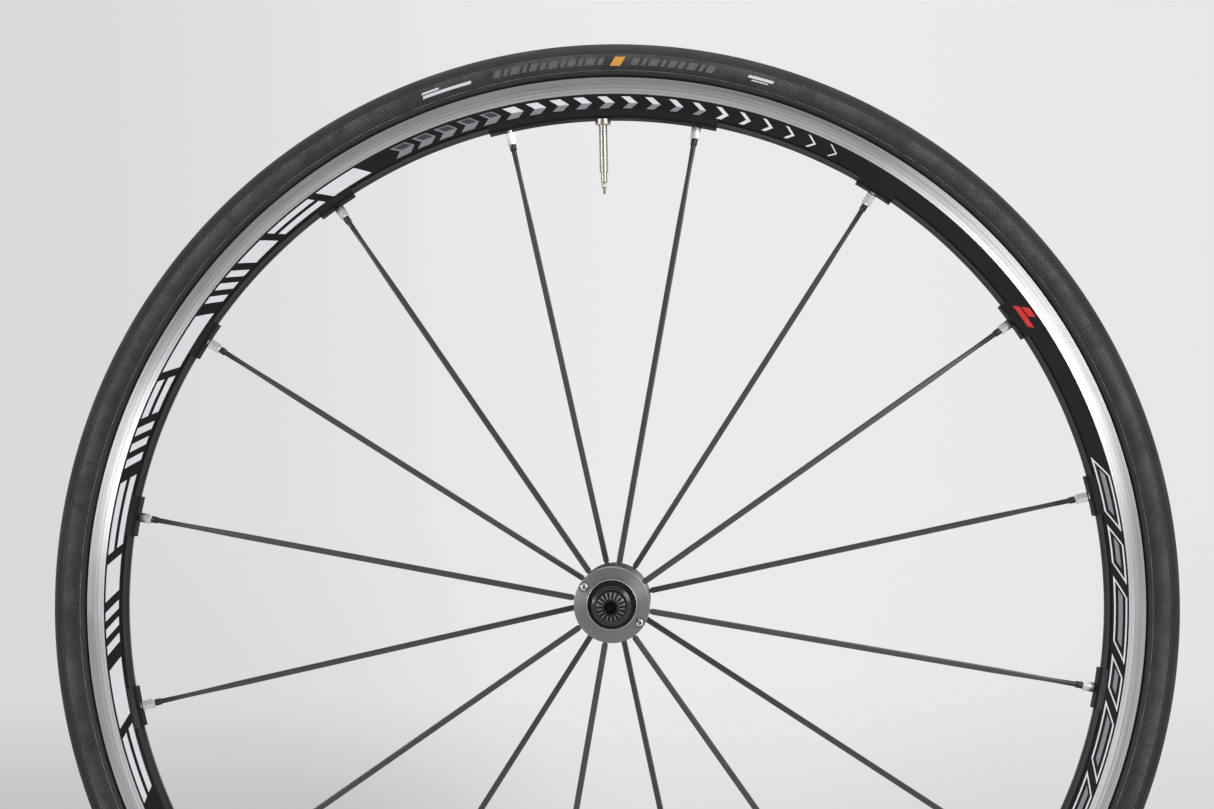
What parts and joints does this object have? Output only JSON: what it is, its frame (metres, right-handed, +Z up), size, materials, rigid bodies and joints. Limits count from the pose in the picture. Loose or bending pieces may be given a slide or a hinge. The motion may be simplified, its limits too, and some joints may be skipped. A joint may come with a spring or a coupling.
{
  "type": "quick-release bicycle front wheel",
  "caption": "Spoked bicycle front wheel with tyre, radial bladed spokes and a hollow axle clamped by a quick-release lever, cam and nut.",
  "frame": {"origin": "centre of the wheel: on the axle line, halfway between the two faces that bear on the fork", "axes": "+Y along the axle towards the quick-release lever, the nut is on the -Y side; +Z up towards the valve; +X to the right when the nut side is seen"},
  "size_m": [0.6767, 0.1908, 0.6768],
  "materials": {
    "tyre_rubber": "matte moulded rubber with a fine cross-hatched side band",
    "rim_alloy": "black anodised body with a bare machined brake track on each side",
    "spoke_steel": "dark grey satin",
    "nipple_alloy": "bare satin",
    "hub_black": "black anodised",
    "ring_grey": "grey anodised with a polished inner edge",
    "screw_steel": "polished",
    "bearing_steel": "ground",
    "seal_rubber": "matte",
    "end_cap_alloy": "turned and anodised grey",
    "axle_steel": "turned",
    "spring_steel": "drawn wire",
    "skewer_steel": "drawn and threaded",
    "housing_alloy": "satin",
    "plug_plastic": "moulded",
    "washer_steel": "turned",
    "nut_alloy": "satin anodised grey",
    "lever_alloy": "forged and satin polished",
    "acorn_steel": "polished",
    "valve_nickel": "nickel plated",
    "valve_brass": "bright"
  },
  "bodies": {
    "axle": {"axle": "axle_steel", "bearing_inner_nut_side": "bearing_steel", "bearing_inner_lever_side": "bearing_steel", "end_cap_nut_side": "end_cap_alloy", "end_cap_lever_side": "end_cap_alloy", "spring_nut_side": "spring_steel", "spring_lever_side": "spring_steel", "cam_housing": "housing_alloy", "housing_plug": "plug_plastic"},
    "wheel": {"hub_shell": "hub_black", "clamp_ring_nut_side": "ring_grey", "clamp_ring_lever_side": "ring_grey", "ring_screws_nut_side": "screw_steel", "ring_screws_lever_side": "screw_steel", "bearing_outer_nut_side": "bearing_steel", "bearing_outer_lever_side": "bearing_steel", "seal_nut_side": "seal_rubber", "seal_lever_side": "seal_rubber", "nipples": "nipple_alloy", "rim": "rim_alloy", "tyre": "tyre_rubber", "valve_stem": "valve_nickel", "valve_seal": "seal_rubber", "valve_ring_nut": "valve_nickel", "valve_pin": "valve_brass", "spoke_nut_side_1": "spoke_steel", "spoke_nut_side_2": "spoke_steel", "spoke_nut_side_3": "spoke_steel", "spoke_nut_side_4": "spoke_steel", "spoke_nut_side_5": "spoke_steel", "spoke_nut_side_6": "spoke_steel", "spoke_nut_side_7": "spoke_steel", "spoke_nut_side_8": "spoke_steel", "spoke_lever_side_1": "spoke_steel", "spoke_lever_side_2": "spoke_steel", "spoke_lever_side_3": "spoke_steel", "spoke_lever_side_4": "spoke_steel", "spoke_lever_side_5": "spoke_steel", "spoke_lever_side_6": "spoke_steel", "spoke_lever_side_7": "spoke_steel", "spoke_lever_side_8": "spoke_steel"},
    "skewer": {"skewer": "skewer_steel"},
    "lever": {"lever": "lever_alloy", "acorn_nut": "acorn_steel"},
    "nut_ring": {"nut_washer": "washer_steel"},
    "nut": {"qr_nut": "nut_alloy"},
    "valve_nut": {"valve_nut": "valve_nickel"}
  },
  "joints": [
    {"name": "wheel_spin", "type": "hinge", "parent": "axle", "child": "wheel", "pos_m": [0, 0, 0], "axis": [0, 1, 0], "continuous": true},
    {"name": "lever_turn", "type": "hinge", "parent": "axle", "child": "lever", "pos_m": [0, 0.066, 0], "axis": [0, 0, 1], "range_deg": [-90, 90]},
    {"name": "skewer_pull", "type": "slide", "parent": "axle", "child": "skewer", "axis": [0, 1, 0], "range_m": [-0.0008, 0.0008], "deforming": ["spring_nut_side"]},
    {"name": "nut_travel", "type": "slide", "parent": "skewer", "child": "nut_ring", "axis": [0, -1, 0], "range_m": [0, 0.0032], "deforming": ["spring_nut_side"]},
    {"name": "nut_turn", "type": "hinge", "parent": "nut_ring", "child": "nut", "pos_m": [0, 0, 0], "axis": [0, -1, 0], "range_deg": [0, 1440]},
    {"name": "valve_nut_travel", "type": "slide", "parent": "wheel", "child": "valve_nut", "axis": [0, 0, -1], "range_m": [0, 0.0025]}
  ],
  "couplings": [
    {"joint": "skewer_pull", "follows": "lever_turn", "m_per_rad": 0.0005093},
    {"joint": "nut_turn", "follows": "nut_travel", "rad_per_m": 7854}
  ]
}
